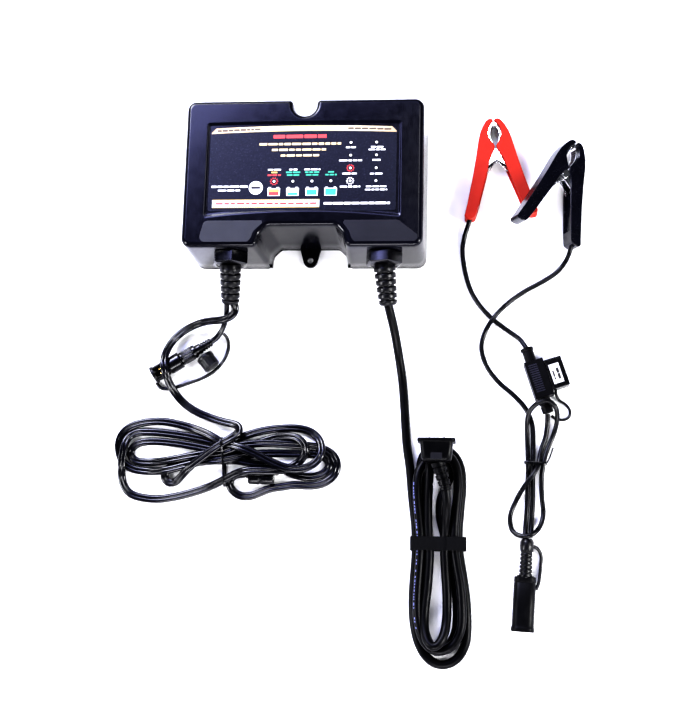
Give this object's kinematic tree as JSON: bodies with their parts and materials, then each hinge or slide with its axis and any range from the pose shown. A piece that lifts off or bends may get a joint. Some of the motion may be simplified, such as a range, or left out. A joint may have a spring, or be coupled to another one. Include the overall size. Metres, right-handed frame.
{
  "type": "car battery charger",
  "caption": "Slim boxed battery charger with a button, lights, a mains lead, a long low-voltage lead, a capped sensor pigtail and a fused clamp lead with red and black spring clamps.",
  "frame": {"origin": "middle of the case's back, on the surface it lies on", "axes": "+X along the case's width, to the right seen from the front; +Y away from the cord side, towards the hanging notch; +Z out of the face plate"},
  "size_m": [0.408, 0.4796, 0.0702],
  "materials": {
    "case": "polished black with a blue tinge",
    "label": "printed dark blue film",
    "pads": "matt grey",
    "button": "white",
    "black_parts": "moulded black",
    "led": "clear white lens",
    "board": "green circuit board",
    "core": "dark lacquered",
    "winding": "taped and lacquered winding",
    "heatsink": "plain",
    "can": "sleeved cans",
    "fuse_glass": "glass tube in spring clips",
    "steel": "zinc plated",
    "gland": "moulded black",
    "rubber": "satin black",
    "tie": "black",
    "brass": "plated contacts",
    "nickel": "nickel plated",
    "fuse_red": "translucent red body",
    "label_white": "white paper",
    "clamp_steel": "nickel plated sheet",
    "grip_red": "red",
    "grip_black": "black"
  },
  "bodies": {
    "charger": {"front_cover": "case", "rear_cover": "case", "face_label": "label", "side_pads": "pads", "button_switch": "black_parts", "status_leds": "led", "indicator_board": "board", "circuit_board": "board", "transformer_core": "core", "transformer_winding": "winding", "heatsink": "heatsink", "power_transistors": "black_parts", "filter_capacitors": "can", "filter_choke": "winding", "mains_fuse": "fuse_glass", "case_screws": "steel", "board_screws": "steel", "gland_nuts": "gland", "output_strain_relief": "rubber", "input_strain_relief": "rubber", "output_cord": "rubber", "output_bundle": "rubber", "output_tail": "rubber", "output_tie": "tie", "output_connector": "rubber", "pigtail_cord": "rubber", "pigtail_body": "rubber", "pigtail_sleeve": "case", "pigtail_cap": "rubber", "pigtail_cap_strap": "rubber", "connector_pins": "brass", "mains_cord": "rubber", "mains_hank": "rubber", "hank_strap": "tie", "mains_plug": "rubber", "plug_blades": "nickel", "red_wire": "rubber", "positive_wire": "rubber", "negative_wire": "rubber", "lead_tie": "tie", "fuse_holder": "rubber", "blade_fuse": "fuse_red", "fuse_cap_strap": "rubber", "lead_connector": "rubber", "lead_cap_strap": "rubber", "red_fixed_lever": "clamp_steel", "red_fixed_grip": "grip_red", "black_fixed_lever": "clamp_steel", "black_fixed_grip": "grip_black", "clamp_pivots": "clamp_steel", "clamp_springs": "clamp_steel"},
    "test_button": {"test_button": "button"},
    "red_lever": {"red_moving_lever": "clamp_steel", "red_moving_grip": "grip_red"},
    "black_lever": {"black_moving_lever": "clamp_steel", "black_moving_grip": "grip_black"},
    "fuse_cap": {"fuse_cap": "case", "fuse_label": "label_white"},
    "lead_cap": {"lead_cap": "case"},
    "pigtail_ring": {"pigtail_ring": "gland"}
  },
  "joints": [
    {"name": "button_press", "type": "slide", "parent": "charger", "child": "test_button", "axis": [0, 0, -1], "range_m": [0, 0.0008], "stiffness_N_per_m": 600, "springref_m": -0.002},
    {"name": "red_clamp_hinge", "type": "hinge", "parent": "charger", "child": "red_lever", "pos_m": [0.165, 0.0355, 0.00755], "axis": [0, 0, -1], "range_deg": [0, 30], "stiffness_Nm_per_rad": 0.5, "springref_deg": -51.57, "deforming": ["clamp_springs"]},
    {"name": "black_clamp_hinge", "type": "hinge", "parent": "charger", "child": "black_lever", "pos_m": [0.2235, 0.0134, 0.01426], "axis": [0.4187, -0.0282, 0.9077], "range_deg": [0, 30], "stiffness_Nm_per_rad": 0.5, "springref_deg": -51.57, "deforming": ["clamp_springs"]},
    {"name": "fuse_cap_slide", "type": "slide", "parent": "charger", "child": "fuse_cap", "axis": [0.9511, 0.309, 0], "range_m": [0, 0.02], "deforming": ["fuse_cap_strap"]},
    {"name": "lead_cap_slide", "type": "slide", "parent": "charger", "child": "lead_cap", "axis": [-0.0569, -0.9984, 0], "range_m": [0, 0.032], "deforming": ["lead_cap_strap"]},
    {"name": "pigtail_ring_spin", "type": "hinge", "parent": "charger", "child": "pigtail_ring", "pos_m": [-0.10533, -0.14738, 0.0077], "axis": [-0.856, -0.517, 0], "continuous": true}
  ]
}
